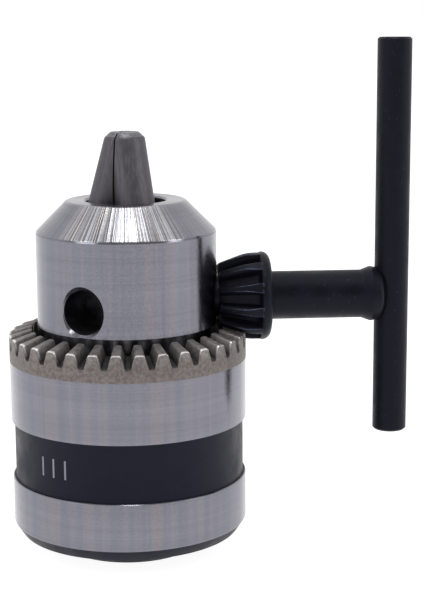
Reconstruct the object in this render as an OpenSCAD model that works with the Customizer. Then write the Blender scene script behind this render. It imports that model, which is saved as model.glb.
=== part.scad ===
// Three-jaw keyed drill chuck with a short-taper socket, and its T-handled key in mesh.
// Millimetres. The chuck's axis is +Z and the rear face of its boss is z = 0. The key lies along +X.

/* [Sleeve] */
// Diameter over the rear bright band of the sleeve
sleeve_d = 42.8; // [41:0.1:52]
// Length of the sleeve, from its rear face to the tooth tips at its rim
sleeve_l = 36.7; // [34:0.1:45]
// Wall of the sleeve behind the gear, measured under the rear band
sleeve_wall = 1.95; // [1.6:0.05:2.4]
// How much further out the gear rim stands than the rear band, on the radius
gear_proud = 0.1; // [0:0.05:0.5]
// Depth of the dark recessed band below the rear band, on the radius
recess_depth = 0.52; // [0.2:0.01:0.8]
// Height of the rear bright band
rear_band_h = 8.4; // [6:0.1:10]
// Height of the dark recessed band
recess_h = 10.5; // [8:0.1:12]
// Height of the dark bevel at the sleeve's rear end
rear_bevel_h = 2.15; // [1:0.05:3]
// Width of that bevel, on the radius
rear_bevel_w = 1.45; // [0.5:0.05:1.6]
// Height of the unground rim under the tooth tips
gear_rim_h = 4.7; // [4:0.1:6]

/* [Gears] */
// Teeth on the sleeve's ring gear, a multiple of three
ring_teeth = 33; // [30:3:36]
// Teeth on the key's pinion
pinion_teeth = 11; // [10:1:12]
// Radial width of the ring gear's teeth
gear_face_w = 4.1; // [3:0.05:4.3]
// Width of the open groove between the teeth's inner ends and the body
gear_moat_w = 1.15; // [1:0.05:1.8]
// Height of a ring tooth above the pitch cone at the rim
ring_addendum = 1.12; // [1:0.01:1.25]
// Depth of a ring tooth below the pitch cone at the rim
ring_dedendum = 1.3; // [1.3:0.01:1.6]
// Height of a pinion tooth above its pitch circle, level with the ring gear's rim
pinion_addendum = 0.8; // [0.5:0.05:1]
// Slope of the tooth flanks
pressure_angle = 18; // [16:0.5:24]
// How much wider a ring tooth is than half the pitch, which the pinion's teeth give up
ring_tooth_extra = 0.36; // [0:0.01:0.4]
// How far the ring gear is turned from having a tooth under the key's axis
mesh_turn = 1.6; // [-5:0.1:5]
// Play between the teeth in mesh at the rim
backlash = 0.24; // [0.1:0.01:0.4]

/* [Body] */
// Distance from the tooth tips at the rim to the nose face
nose_l = 24; // [21:0.1:29]
// Diameter of the flat nose face
nose_face_d = 21.5; // [19:0.1:23]
// Height of the nose cone
nose_cone_h = 5.5; // [4:0.1:7]
// Distance from the tooth tips at the rim up to the body's lower bright edge, where a groove begins
neck_over_rim = 1.7; // [1.2:0.1:2]
// Depth of that groove, on the radius
neck_depth = 1.2; // [0.5:0.05:1.5]
// Diameter of the mouth that the jaws come out of
mouth_d = 14.5; // [14.4:0.1:16]
// Depth of that mouth
mouth_depth = 2; // [1.5:0.1:4]
// Diameter of the boss at the rear
boss_d = 26.2; // [20:0.1:30]
// Height of the boss
boss_h = 3.1; // [2:0.1:5]
// Diameter of the clearance bore for the tool's shank
tool_bore_d = 10.4; // [10.2:0.1:11]
// Distance from the rear face to the floor of the tool bore
tool_bore_floor = 27.5; // [26:0.1:30]
// Large diameter of the short-taper socket
taper_d = 12.065; // [10.094, 12.065]
// Diameter lost per millimetre of the socket's depth
taper_rate = 0.04988; // [0.0498:0.00001:0.0500]
// Depth of the taper socket
taper_depth = 20; // [18:0.1:22]

/* [Jaws] */
// Angle between a jaw and the chuck's axis
jaw_angle = 15; // [14:0.25:16]
// Diameter of the rod that a jaw is made from
jaw_d = 7.4; // [6.8:0.1:8]
// How far the closed jaws stand out of the nose face
jaw_out = 12.1; // [8:0.1:14]
// Radius over the closed jaws at their tips, before the chamfer
jaw_tip_r = 3.35; // [2.5:0.05:3.6]
// Smallest and largest shank that the jaws hold
grip_min_d = 1.5; // [0.5:0.1:2]
grip_max_d = 10; // [8:0.1:10]
// Gap between the side flats of the closed jaws
jaw_gap = 0.24; // [0.1:0.01:0.5]
// Chamfer round the jaw's tip
tip_chamfer = 0.75; // [0.3:0.05:1.2]
// Chamfer round the jaw's rear end
jaw_end_chamfer = 1; // [0.5:0.1:1.5]

/* [Nut and thread] */
// Height of the split nut
nut_h = 7.5; // [7.2:0.1:9]
// Distance from the tooth tips at the rim down to the nut
nut_under_rim = 3.8; // [3.7:0.1:4.2]
// Pitch of the thread that moves the jaws, along the chuck's axis
thread_pitch = 1.5; // [1.4:0.05:1.6]
// Depth of the thread
thread_depth = 0.85; // [0.6:0.05:1]
// Length of thread that still holds the closed jaws
thread_engaged = 3.2; // [3:0.1:4]

/* [Key] */
// Diameter of the key's shank
shank_d = 8.75; // [8:0.05:11]
// Diameter of the pilot that enters the body
pilot_d = 7.5; // [6:0.1:7.6]
// Distance from the chuck's axis to the bottom of a key hole
key_hole_floor = 8.4; // [8:0.1:10]
// How far the pinion's head stands out past the tips of its teeth, level with the ring gear's rim
head_over = 0.08; // [0.05:0.01:0.3]
// Length of the pinion's teeth past the ring gear's rim
pinion_over = 2.6; // [1.5:0.1:4]
// Length of the plain collar behind the pinion's teeth
collar_l = 1.8; // [1.5:0.1:4]
// Diameter of the cross bar
bar_d = 6.2; // [5:0.1:8]
// Length of the cross bar
bar_l = 72; // [60:0.1:90]
// How far the bar's middle stands above the shank's axis
bar_offset = 10.35; // [0:0.05:15]
// Length of the shank, from the head to the bar's axis
shank_l = 22.5; // [18:0.1:30]
// Height of the upset ring where the shank meets the bar
upset_h = 0.65; // [0.2:0.05:1]
// Small chamfer on the bar's ends
bar_chamfer = 0.35; // [0.2:0.05:0.8]

/* [Clearances] */
// Running clearance of the sleeve on the body, on the radius
run_clear = 0.08; // [0.02:0.01:0.1]
// Clearance of a jaw in its bore, on the radius
jaw_clear = 0.08; // [0.03:0.01:0.15]
// Clearance of the key's pilot in its hole, on the radius
pilot_clear = 0.2; // [0.05:0.01:0.3]
// Clearance of the nut in the body's groove, along the axis
nut_clear = 0.1; // [0.05:0.01:0.2]
// Clearance between the threads of the nut and the jaws
thread_clear = 0.12; // [0.1:0.01:0.16]

/* [Hidden] */
$fn = 96;
SLACK = 1;              // how far a cutter runs past the face that it cuts
EDGE = 0.5;             // plain chamfer on turned edges
BREAK = 0.25;           // how far a broken edge reaches along each of its two faces
JAW_AZIMUTHS = [60, 180, 300];
KEY_AZIMUTHS = [0, 120, 240];

// Radii of the sleeve and what turns in it
sleeve_r = sleeve_d / 2;
gear_r = sleeve_r + gear_proud;
sleeve_bore_r = sleeve_r - sleeve_wall;
flange_r = sleeve_bore_r - run_clear;
teeth_in_r = gear_r - gear_face_w;
body_r = teeth_in_r - gear_moat_w;
lip_r = body_r + run_clear;
lip_h = 1.4;
nut_groove_spare = 0.3; // how much deeper the nut's groove in the body is than the thread
recess_r = sleeve_r - recess_depth;

// Heights up the chuck
rear_band_z = boss_h + rear_bevel_h;
recess_z = rear_band_z + rear_band_h;
front_band_z = recess_z + recess_h;
rim_z = boss_h + sleeve_l;
nose_z = rim_z + nose_l;
cone_z = nose_z - nose_cone_h;
neck_top_z = rim_z + neck_over_rim;
nut_top_z = rim_z - nut_under_rim;
nut_z = nut_top_z - nut_h;

// Ring gear and pinion share a cone apex where their axes cross
pinion_pitch_r = gear_r * pinion_teeth / ring_teeth;
pitch_z = rim_z - ring_addendum;
key_z = pitch_z + pinion_pitch_r;
tooth_pitch = 2 * PI * gear_r / ring_teeth;
gap_half_w = (tooth_pitch / 2 - ring_tooth_extra + backlash / 2) / 2;
tooth_clear = 0.2;      // between a ring tooth's tip and the root that it turns over
pinion_tip_r = pinion_pitch_r + pinion_addendum;
pinion_root_r = pinion_pitch_r - ring_addendum - tooth_clear;
pinion_tooth_w = tooth_pitch / 2 - ring_tooth_extra - backlash / 2;
pinion_turn = mesh_turn * ring_teeth / pinion_teeth;

// Jaws: a point on a jaw's axis lies t below the apex, where the axis meets the chuck's axis
jaw_r = jaw_d / 2;
jaw_bore_r = jaw_r + jaw_clear;
jaw_tip_z = nose_z + jaw_out;
apex_z = jaw_tip_z - (jaw_r / cos(jaw_angle) - jaw_tip_r) / tan(jaw_angle);
jaw_travel = (grip_max_d - grip_min_d) / 2 / sin(jaw_angle);
jaw_end_t = (apex_z + jaw_r * sin(jaw_angle) - nut_top_z + thread_engaged) / cos(jaw_angle) + jaw_end_chamfer;
jaw_open_t = jaw_end_t + jaw_travel;
jaw_bore_extra = 0.6;   // room past the rear end of an open jaw
thread_top_z = nut_top_z + jaw_travel * cos(jaw_angle);

// Thread: the same trapezoid on the nut and, with clearance all round, in the jaws
ridge_base_w = 0.95 * thread_pitch / 1.5;
ridge_tip_w = 0.25 * thread_pitch / 1.5;
ridge_h = thread_depth;
thread_lead_in = 0.9;   // from the nut's rear face to the first ridge
ridge_count = floor((nut_h - 2 * thread_lead_in) / thread_pitch) + (nut_h - 2 * thread_lead_in > 0 ? 1 : 0);
nut_step = 7.5;         // degrees between sections of the tap that cuts the nut
tap_core_r = 6;
nut_split = 0.05;       // taken off each end of a nut half, where the ring was cracked in two
nut_split_angle = 30;   // where the first crack lies, midway between two jaws

// Key
key_hole_r = pilot_d / 2 + pilot_clear;
key_hole_bevel = 0.7;
pilot_end_x = key_hole_floor + 0.8;
pinion_in_x = body_r + 0.25;
collar_x = gear_r + pinion_over;
head_end_x = collar_x + collar_l;
head_r = pinion_tip_r + head_over;
bar_x = head_end_x + shank_l;
bar_z = key_z + bar_offset;

// Outer line of the jaws at height z, as a radius about the chuck's axis
function jaw_line(z) = jaw_r / cos(jaw_angle) + (apex_z - z) * tan(jaw_angle);

// Point on an involute from a base circle of radius b, where the radius is r
function involute_angle(b, r) = let (a = acos(min(1, b / r))) tan(a) * 180 / PI - a;

module body_turned() {
    nut_groove_r = jaw_line(nut_top_z) - thread_depth - nut_groove_spare;
    flange_z = nut_z - nut_clear;
    neck_r = body_r - neck_depth;
    neck_z = nut_top_z + lip_h + EDGE;
    face_r = nose_face_d / 2;
    cone_step = [body_r - face_r, -nose_cone_h] / norm([body_r - face_r, nose_cone_h]) * BREAK;
    rotate_extrude()
        polygon([
            [0, 0], [boss_d / 2 - EDGE, 0], [boss_d / 2, EDGE], [boss_d / 2, boss_h],
            [flange_r - EDGE, boss_h], [flange_r, boss_h + EDGE], [flange_r, flange_z - EDGE],
            [flange_r - EDGE, flange_z], [nut_groove_r, flange_z], [nut_groove_r, nut_top_z + nut_clear],
            [body_r, nut_top_z + nut_clear], [body_r, neck_z], [neck_r, neck_z + EDGE],
            [neck_r, neck_top_z], [body_r, neck_top_z],
            [body_r, cone_z - BREAK], [body_r, cone_z] - cone_step,
            [face_r, nose_z] + cone_step, [face_r - BREAK, nose_z], [0, nose_z],
        ]);
}

module taper_socket() {
    mouth_bevel = 0.4;
    lap = 0.01;
    mouth_r = taper_d / 2;
    floor_r = (taper_d - taper_depth * taper_rate) / 2;
    drill_r = floor_r - 0.2;
    drill_tip_r = 0.5;
    drill_tip_h = 1.6;
    cylinder(h = taper_depth, r1 = mouth_r, r2 = floor_r);
    translate([0, 0, -SLACK])
        cylinder(h = SLACK + mouth_bevel, r1 = mouth_r + SLACK + mouth_bevel, r2 = mouth_r - lap);
    translate([0, 0, taper_depth - lap]) cylinder(h = drill_tip_h, r1 = drill_r, r2 = drill_tip_r);
}

module tool_bore() {
    mouth_bevel = 0.35;
    mouth_r = mouth_d / 2;
    translate([0, 0, tool_bore_floor]) cylinder(h = nose_z - tool_bore_floor + SLACK, d = tool_bore_d);
    translate([0, 0, nose_z - mouth_depth]) cylinder(h = mouth_depth + SLACK, r = mouth_r);
    translate([0, 0, nose_z - mouth_bevel])
        cylinder(h = mouth_bevel + SLACK, r1 = mouth_r, r2 = mouth_r + mouth_bevel + SLACK);
}

// Everything on a jaw's own axis is drawn with +Z running down the bore from the apex
module on_jaw_axis(azimuth) {
    rotate([0, 0, azimuth]) translate([0, 0, apex_z]) rotate([0, 180 - jaw_angle, 0]) children();
}

module jaw_bore(azimuth) {
    on_jaw_axis(azimuth) cylinder(h = jaw_open_t + jaw_bore_extra, r = jaw_bore_r);
}

module key_hole(azimuth) {
    rotate([0, 0, azimuth]) translate([0, 0, key_z]) rotate([0, 90, 0]) {
        translate([0, 0, key_hole_floor]) cylinder(h = body_r - key_hole_floor + SLACK, r = key_hole_r);
        translate([0, 0, body_r - key_hole_bevel])
            cylinder(h = key_hole_bevel + SLACK, r1 = key_hole_r, r2 = key_hole_r + key_hole_bevel + SLACK);
    }
}

module body() {
    color("silver")
        difference() {
            body_turned();
            taper_socket();
            tool_bore();
            for (a = JAW_AZIMUTHS) jaw_bore(a);
            for (a = KEY_AZIMUTHS) key_hole(a);
        }
}

// Height of a line through the gear apex that passes h above the pitch cone at the rim
function apex_line_z(h, r) = key_z - (pinion_pitch_r - h) * r / gear_r;

module sleeve_turned() {
    band_edge = 0.15;
    rotate_extrude()
        polygon([
            [sleeve_bore_r, boss_h], [sleeve_r - rear_bevel_w, boss_h], [sleeve_r, rear_band_z],
            [sleeve_r, recess_z - band_edge], [sleeve_r - band_edge, recess_z], [recess_r, recess_z],
            [recess_r, front_band_z], [gear_r - gear_proud / 2, front_band_z],
            [gear_r, rim_z - gear_rim_h], [gear_r, rim_z],
            [teeth_in_r, apex_line_z(ring_addendum, teeth_in_r)],
            [teeth_in_r, nut_top_z + lip_h + band_edge], [teeth_in_r - band_edge, nut_top_z + lip_h],
            [lip_r, nut_top_z + lip_h], [lip_r, nut_top_z], [sleeve_bore_r, nut_top_z],
        ]);
}

// Space between two ring teeth, drawn as a section at the rim and shrunk towards the gear apex
module ring_gap() {
    slope = tan(pressure_angle);
    outer_x = gear_r + SLACK;
    inner_x = teeth_in_r - SLACK / 2;
    root_round = 0.2;
    tip_round = 0.32;
    tip_step = 0.1;
    tip_widen = 0.04;
    over = 0.5;
    over_widen = 0.55;
    heights = [-ring_dedendum, -ring_dedendum + root_round, ring_addendum - tip_round,
               ring_addendum - tip_step, ring_addendum + over];
    half_w = [gap_half_w - (ring_dedendum + root_round) * slope,
              gap_half_w - (ring_dedendum - root_round) * slope,
              gap_half_w + (ring_addendum - tip_round) * slope,
              gap_half_w + ring_addendum * slope + tip_widen,
              gap_half_w + (ring_addendum + over) * slope + over_widen];
    side = [for (i = [0:len(heights) - 1]) [half_w[i], heights[i] - pinion_pitch_r]];
    mirrored = [for (i = [len(side) - 1:-1:0]) [-side[i][0], side[i][1]]];
    translate([0, 0, key_z]) multmatrix([[0, 0, 1, inner_x], [1, 0, 0, 0], [0, 1, 0, 0], [0, 0, 0, 1]])
        linear_extrude(height = outer_x - inner_x, scale = outer_x / inner_x)
            scale(inner_x / gear_r) polygon(concat(side, mirrored));
}

module sleeve() {
    color("lightgray")
        difference() {
            sleeve_turned();
            for (i = [0:ring_teeth - 1]) rotate([0, 0, mesh_turn + (i + 0.5) * 360 / ring_teeth]) ring_gap();
        }
}

// Section at angle a of the tap that cuts the nut: it has a groove for each of the nut's ridges,
// which climb one pitch in a turn
function tap_section(a) = concat(
    [[tap_core_r, nut_z - SLACK], [tap_core_r, nut_top_z + SLACK],
     [jaw_line(nut_top_z + SLACK) + thread_clear, nut_top_z + SLACK]],
    [for (k = [ridge_count - 1:-1:0])
        let (z = nut_z + thread_lead_in + (k + a / 360) * thread_pitch,
             top = z + ridge_base_w / 2,
             rear = z - ridge_base_w / 2)
        each [
            [jaw_line(top) + thread_clear, top],
            [jaw_line(z + ridge_tip_w / 2) + thread_clear - ridge_h, z + ridge_tip_w / 2],
            [jaw_line(z - ridge_tip_w / 2) + thread_clear - ridge_h, z - ridge_tip_w / 2],
            [jaw_line(rear) + thread_clear, rear],
        ]],
    [[jaw_line(nut_z - SLACK) + thread_clear, nut_z - SLACK]]);

// A little more than half a turn of the tap, from angle start
module tap(start) {
    over = 4;
    steps = ceil((180 + 2 * over) / nut_step);
    angles = [for (i = [0:steps]) start - over + (180 + 2 * over) * i / steps];
    sections = [for (a = angles) tap_section(a)];
    n = len(sections[0]);
    points = [for (i = [0:steps]) for (p = sections[i]) [p[0] * cos(angles[i]), p[0] * sin(angles[i]), p[1]]];
    sides = [for (i = [0:steps - 1]) for (j = [0:n - 1])
        let (a = i * n + j, b = i * n + (j + 1) % n)
        each [[a, b + n, b], [a, a + n, b + n]]];
    first = [for (j = [0:n - 1]) j];
    last = [for (j = [n - 1:-1:0]) steps * n + j];
    polyhedron(points, concat(sides, [first, last]), convexity = 6);
}

module nut_half(start) {
    wide = 2 * sleeve_d;
    color("dimgray")
        difference() {
            translate([0, 0, nut_z]) cylinder(h = nut_h, r = sleeve_bore_r);
            translate([0, 0, nut_z - SLACK]) cylinder(h = nut_h + 2 * SLACK, r = tap_core_r + SLACK);
            rotate([0, 0, start])
                translate([-wide / 2, nut_split - wide, nut_z - SLACK]) cube([wide, wide, nut_h + 2 * SLACK]);
            tap(start);
        }
}

// Rod of a jaw, ground to a third of a circle with a narrow flat where it grips
module jaw_blank() {
    reach = 40;
    apex_x = jaw_gap / 2 / sin(60);
    grip_x = grip_min_d / 2;
    tip_flat_r = jaw_tip_r - tip_chamfer;
    intersection() {
        on_jaw_axis(0) {
            translate([0, 0, -2 * jaw_r]) cylinder(h = jaw_end_t - jaw_end_chamfer + 2 * jaw_r, r = jaw_r);
            translate([0, 0, jaw_end_t - jaw_end_chamfer])
                cylinder(h = jaw_end_chamfer, r1 = jaw_r, r2 = jaw_r - jaw_end_chamfer);
        }
        linear_extrude(height = jaw_tip_z)
            polygon([
                [grip_x, -(grip_x - apex_x) * tan(60)], [reach, -(reach - apex_x) * tan(60)],
                [reach, (reach - apex_x) * tan(60)], [grip_x, (grip_x - apex_x) * tan(60)],
            ]);
        rotate_extrude()
            polygon([[0, 0], [reach, 0], [reach, jaw_tip_z - reach + tip_flat_r], [tip_flat_r, jaw_tip_z],
                     [0, jaw_tip_z]]);
    }
}

// Groove that takes one ridge of the nut. Its centre is where the chuck's axis is when the jaw has
// moved so far that this groove lies at the middle of the nut.
module jaw_groove(z) {
    nut_mid_z = nut_z + nut_h / 2;
    root_r = jaw_line(nut_mid_z) - thread_depth - thread_clear / 2;
    tip_half = ridge_tip_w / 2 + thread_clear;
    flank = (ridge_base_w - ridge_tip_w) / 2 / ridge_h;
    out = thread_depth + SLACK;
    translate([-(z - nut_mid_z) * tan(jaw_angle), 0, z])
        rotate_extrude()
            polygon([
                [root_r, -tip_half], [root_r + out, -tip_half - flank * out],
                [root_r + out, tip_half + flank * out], [root_r, tip_half],
            ]);
}

module jaw(azimuth) {
    first_z = nut_z + thread_lead_in + azimuth / 360 * thread_pitch;
    grooves = ceil((thread_top_z - first_z) / thread_pitch);
    color("slategray")
        rotate([0, 0, azimuth])
            difference() {
                jaw_blank();
                for (k = [0:grooves]) jaw_groove(first_z + k * thread_pitch);
            }
}

// Outline of the pinion at the ring gear's rim, with a space where a ring tooth sits
module pinion_outline() {
    base_r = pinion_pitch_r * cos(pressure_angle);
    steps = 5;
    half_at_pitch = pinion_tooth_w / 2 / pinion_pitch_r * 180 / PI;
    half_at_base = half_at_pitch + involute_angle(base_r, pinion_pitch_r);
    low_r = max(base_r, pinion_root_r);
    radii = [for (i = [0:steps]) low_r + (pinion_tip_r - low_r) * i / steps];
    flank = [for (r = radii) [r, half_at_base - involute_angle(base_r, r)]];
    root = [[pinion_root_r, half_at_base + 1.2]];
    side = concat(root, flank);
    tooth = concat([for (p = side) [p[0], -p[1]]], [for (i = [len(side) - 1:-1:0]) side[i]]);
    polygon([for (k = [0:pinion_teeth - 1]) for (p = tooth)
        let (a = pinion_turn - 90 + (k + 0.5) * 360 / pinion_teeth + p[1]) [p[0] * cos(a), p[0] * sin(a)]]);
}

// The pinion's teeth, shrunk towards the gear apex
module pinion_teeth_solid() {
    outer_x = collar_x + collar_l / 2;
    multmatrix([[0, 0, 1, pinion_in_x], [1, 0, 0, 0], [0, 1, 0, 0], [0, 0, 0, 1]])
        linear_extrude(height = outer_x - pinion_in_x, scale = outer_x / pinion_in_x)
            scale(pinion_in_x / gear_r) pinion_outline();
}

// A turned shape about the key's axis, from points of distance along it and radius
module turned_key(points) {
    rotate([0, 90, 0]) rotate_extrude() polygon([for (p = points) [p[1], p[0]]]);
}

// Envelope of the pinion: a cone at the front, then straight back to the collar
module pinion_blank() {
    tip_slope = pinion_tip_r / gear_r;
    full_x = head_r / tip_slope;
    crown_l = 1;
    crown_drop = 0.05;
    turned_key([
        [pinion_in_x, 0], [pinion_in_x, pinion_in_x * tip_slope - EDGE],
        [pinion_in_x + EDGE, (pinion_in_x + EDGE) * tip_slope],
        [full_x - crown_l, (full_x - crown_l) * tip_slope], [full_x + crown_l, head_r - crown_drop],
        [head_end_x, head_r], [head_end_x, 0],
    ]);
}

module collar() {
    round_r = min(1.5, 0.9 * collar_l);
    step = 15;
    corner = [for (a = [0:step:90])
        [head_end_x - round_r + round_r * sin(a), head_r - round_r + round_r * cos(a)]];
    turned_key(concat([[gear_r, 0], [gear_r, pinion_root_r]], [[collar_x, head_r - EDGE]], corner,
                      [[head_end_x, 0]]));
}

module shank_turned() {
    shank_r = shank_d / 2;
    pilot_r = pilot_d / 2;
    hub_x = pinion_in_x + BREAK / 2;
    hub_r = pinion_root_r * pinion_in_x / gear_r - BREAK;
    upset_r = shank_r + upset_h;
    upset_x = bar_x - bar_d / 2 - EDGE;
    flare_l = 2.4;
    ring_l = 0.9;
    ring_drop = 0.15;
    dome_x = bar_x - bar_d / 4;
    dome_r = bar_d / 2 + EDGE;
    turned_key([
        [pilot_end_x, 0], [pilot_end_x, pilot_r - EDGE], [pilot_end_x + EDGE, pilot_r],
        [hub_x, pilot_r], [hub_x, hub_r], [collar_x + EDGE, shank_r], [upset_x - flare_l, shank_r],
        [upset_x - ring_l, upset_r - ring_drop], [upset_x, upset_r], [upset_x + ring_l, upset_r - EDGE],
        [dome_x - EDGE, dome_r], [dome_x, dome_r - 2 * BREAK], [dome_x, 0],
    ]);
}

module key_shank() {
    color("dimgray")
        translate([0, 0, key_z])
            difference() {
                union() {
                    intersection() {
                        pinion_teeth_solid();
                        pinion_blank();
                    }
                    collar();
                    shank_turned();
                }
                translate([bar_x, 0, -shank_d]) cylinder(h = 2 * shank_d, d = bar_d);
            }
}

module key_bar() {
    color("dimgray")
        translate([bar_x, 0, bar_z - bar_l / 2])
            rotate_extrude()
                polygon([
                    [0, 0], [bar_d / 2 - bar_chamfer, 0], [bar_d / 2, bar_chamfer],
                    [bar_d / 2, bar_l - bar_chamfer], [bar_d / 2 - bar_chamfer, bar_l], [0, bar_l],
                ]);
}

body();
sleeve();
nut_half(nut_split_angle);  // nut_half_a
nut_half(nut_split_angle + 180);  // nut_half_b
jaw(JAW_AZIMUTHS[0]);  // jaw_1
jaw(JAW_AZIMUTHS[1]);  // jaw_2
jaw(JAW_AZIMUTHS[2]);  // jaw_3
key_shank();
key_bar();
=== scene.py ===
"""The looks of a keyed drill chuck and its key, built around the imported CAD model.

Lengths are in metres, in the frame of the CAD model: the chuck's axis is +Z, the rear face of its
boss is z = 0 and the key lies along +X.
"""

import logging
import math
from dataclasses import dataclass
from enum import Enum, IntEnum
from typing import Callable, Optional, Sequence

import bmesh
import bpy
from mathutils import Matrix, Vector


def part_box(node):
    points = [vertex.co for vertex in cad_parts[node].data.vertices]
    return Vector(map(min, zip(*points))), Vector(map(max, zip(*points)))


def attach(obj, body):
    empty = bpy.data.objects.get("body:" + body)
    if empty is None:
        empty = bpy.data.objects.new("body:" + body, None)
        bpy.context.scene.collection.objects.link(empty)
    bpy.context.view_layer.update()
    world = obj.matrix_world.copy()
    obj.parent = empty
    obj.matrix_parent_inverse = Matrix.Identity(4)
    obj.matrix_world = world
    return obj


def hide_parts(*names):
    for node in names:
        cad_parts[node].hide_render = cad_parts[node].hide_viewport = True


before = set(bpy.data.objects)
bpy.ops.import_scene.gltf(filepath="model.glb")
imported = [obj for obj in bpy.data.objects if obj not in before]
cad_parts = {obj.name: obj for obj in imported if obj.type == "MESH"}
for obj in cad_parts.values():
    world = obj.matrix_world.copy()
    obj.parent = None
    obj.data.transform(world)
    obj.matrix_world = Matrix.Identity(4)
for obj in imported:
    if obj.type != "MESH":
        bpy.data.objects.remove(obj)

MM = 0.001
SLEEVE_LENGTH = 36.7 * MM
NOSE_CONE_HEIGHT = 5.5 * MM
JAW_TIP_CHAMFER = 0.75 * MM
LOG = logging.getLogger("chuck")

Point = tuple[float, float]
Colour = tuple[float, float, float]


class Zone(IntEnum):
    """The surface finishes that one turned and hobbed piece can carry."""

    GROUND = 0
    BLACK = 1
    TOOTH = 2


class Grain(Enum):
    """Which way a tool has left its marks on a surface."""

    TURNED = "round the chuck's axis"
    NONE = "no direction"


# ---------------------------------------------------------------------------------------------
# Node trees
# ---------------------------------------------------------------------------------------------


class Graph:
    """A node tree with short calls for adding and joining nodes."""

    def __init__(self, tree: bpy.types.NodeTree) -> None:
        """Keeps the tree that the other calls work on."""
        self.tree = tree

    def add(self, kind: str, **settings: object) -> bpy.types.Node:
        """Adds a node.

        Args:
            kind: Blender's name for the node's type.
            **settings: properties of the node and their values.

        Returns:
            The new node.
        """
        node = self.tree.nodes.new(kind)
        for name, value in settings.items():
            setattr(node, name, value)
        return node

    def join(self, source: object, target: bpy.types.NodeSocket) -> None:
        """Feeds a socket from another socket, or sets its value.

        Args:
            source: an output socket, or a plain value.
            target: the input socket.
        """
        if isinstance(source, bpy.types.NodeSocket):
            self.tree.links.new(source, target)
        else:
            target.default_value = source

    def math(self, operation: str, first: object, second: object = None, third: object = None) -> object:
        """Works out one number from up to three others.

        Args:
            operation: Blender's name for the operation.
            first: a socket or a number.
            second: a socket or a number.
            third: a socket or a number.

        Returns:
            The result's socket.
        """
        node = self.add("ShaderNodeMath", operation=operation)
        for value, socket in zip((first, second, third), node.inputs):
            if value is not None:
                self.join(value, socket)
        return node.outputs[0]

    def span(self, value: object, low: float, high: float, start: float = 0.0, end: float = 1.0) -> object:
        """Maps a range of numbers smoothly onto another.

        Args:
            value: the socket that is mapped.
            low: the value that gives start.
            high: the value that gives end.
            start: what low becomes.
            end: what high becomes.

        Returns:
            The result's socket.
        """
        node = self.add("ShaderNodeMapRange", interpolation_type="SMOOTHSTEP", clamp=True)
        given = {"Value": value, "From Min": low, "From Max": high, "To Min": start, "To Max": end}
        for name, number in given.items():
            self.join(number, node.inputs[name])
        return node.outputs["Result"]

    def vector(self, x: object, y: object, z: object) -> object:
        """Puts three numbers together as a vector.

        Args:
            x: a socket or a number.
            y: a socket or a number.
            z: a socket or a number.

        Returns:
            The vector's socket.
        """
        node = self.add("ShaderNodeCombineXYZ")
        for value, socket in zip((x, y, z), node.inputs):
            self.join(value, socket)
        return node.outputs[0]

    def noise(self, vector: object, scale: float, detail: float = 2.0, roughness: float = 0.5) -> object:
        """Adds a noise texture.

        Args:
            vector: the socket of the place.
            scale: how fine the noise is.
            detail: how many finer layers it has.
            roughness: how strong the finer layers are.

        Returns:
            The socket of the noise's strength, about 0.5 in the middle.
        """
        node = self.add("ShaderNodeTexNoise")
        self.join(vector, node.inputs["Vector"])
        node.inputs["Scale"].default_value = scale
        node.inputs["Detail"].default_value = detail
        node.inputs["Roughness"].default_value = roughness
        return node.outputs["Fac"]

    def mix(self, factor: object, first: object, second: object) -> object:
        """Mixes two colours.

        Args:
            factor: the share of the second, from 0 to 1.
            first: a socket or a colour.
            second: a socket or a colour.

        Returns:
            The result's socket.
        """
        node = self.add("ShaderNodeMix", data_type="RGBA")
        self.join(factor, node.inputs["Factor"])
        for value, socket in ((first, node.inputs[6]), (second, node.inputs[7])):
            self.join((*value, 1.0) if isinstance(value, tuple) else value, socket)
        return node.outputs[2]

    def bump(self, height: object, distance: float, strength: float = 1.0, below: object = None) -> object:
        """Turns a height into a bumped normal.

        Args:
            height: the socket of the height, from 0 to 1.
            distance: the height's full size, in metres.
            strength: how much of it is used.
            below: the normal that this one builds on.

        Returns:
            The normal's socket.
        """
        node = self.add("ShaderNodeBump")
        self.join(height, node.inputs["Height"])
        node.inputs["Distance"].default_value = distance
        node.inputs["Strength"].default_value = strength
        if below is not None:
            self.join(below, node.inputs["Normal"])
        return node.outputs["Normal"]


@dataclass(frozen=True)
class Place:
    """Where a point of a surface is, as sockets."""

    point: object
    z: object
    radius: object
    angle: object


# ---------------------------------------------------------------------------------------------
# Finishes
# ---------------------------------------------------------------------------------------------


@dataclass(frozen=True)
class Finish:
    """A procedural material. A kind of finish says in paint() what its surface is like."""

    name: str

    def make(self) -> bpy.types.Material:
        """Builds the material.

        Returns:
            The new material.
        """
        material = bpy.data.materials.new(self.name)
        material.use_nodes = True
        graph = Graph(material.node_tree)
        shader = material.node_tree.nodes["Principled BSDF"]
        self.paint(graph, shader, self.place(graph))
        return material

    def place(self, graph: Graph) -> Place:
        """Adds the nodes that say where a point is round the chuck's axis.

        Args:
            graph: the material's tree.

        Returns:
            The sockets of the place.
        """
        point = graph.add("ShaderNodeTexCoord").outputs["Object"]
        parts = graph.add("ShaderNodeSeparateXYZ")
        graph.join(point, parts.inputs[0])
        x, y, z = parts.outputs
        squares = graph.math("ADD", graph.math("MULTIPLY", x, x), graph.math("MULTIPLY", y, y))
        radius = graph.math("SQRT", squares)
        return Place(point, z, radius, graph.math("ARCTAN2", y, x))

    def paint(self, graph: Graph, shader: bpy.types.Node, place: Place) -> None:
        """Sets the shader up. Each kind of finish has its own.

        Args:
            graph: the material's tree.
            shader: its Principled shader.
            place: where the point is.
        """
        raise NotImplementedError


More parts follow.
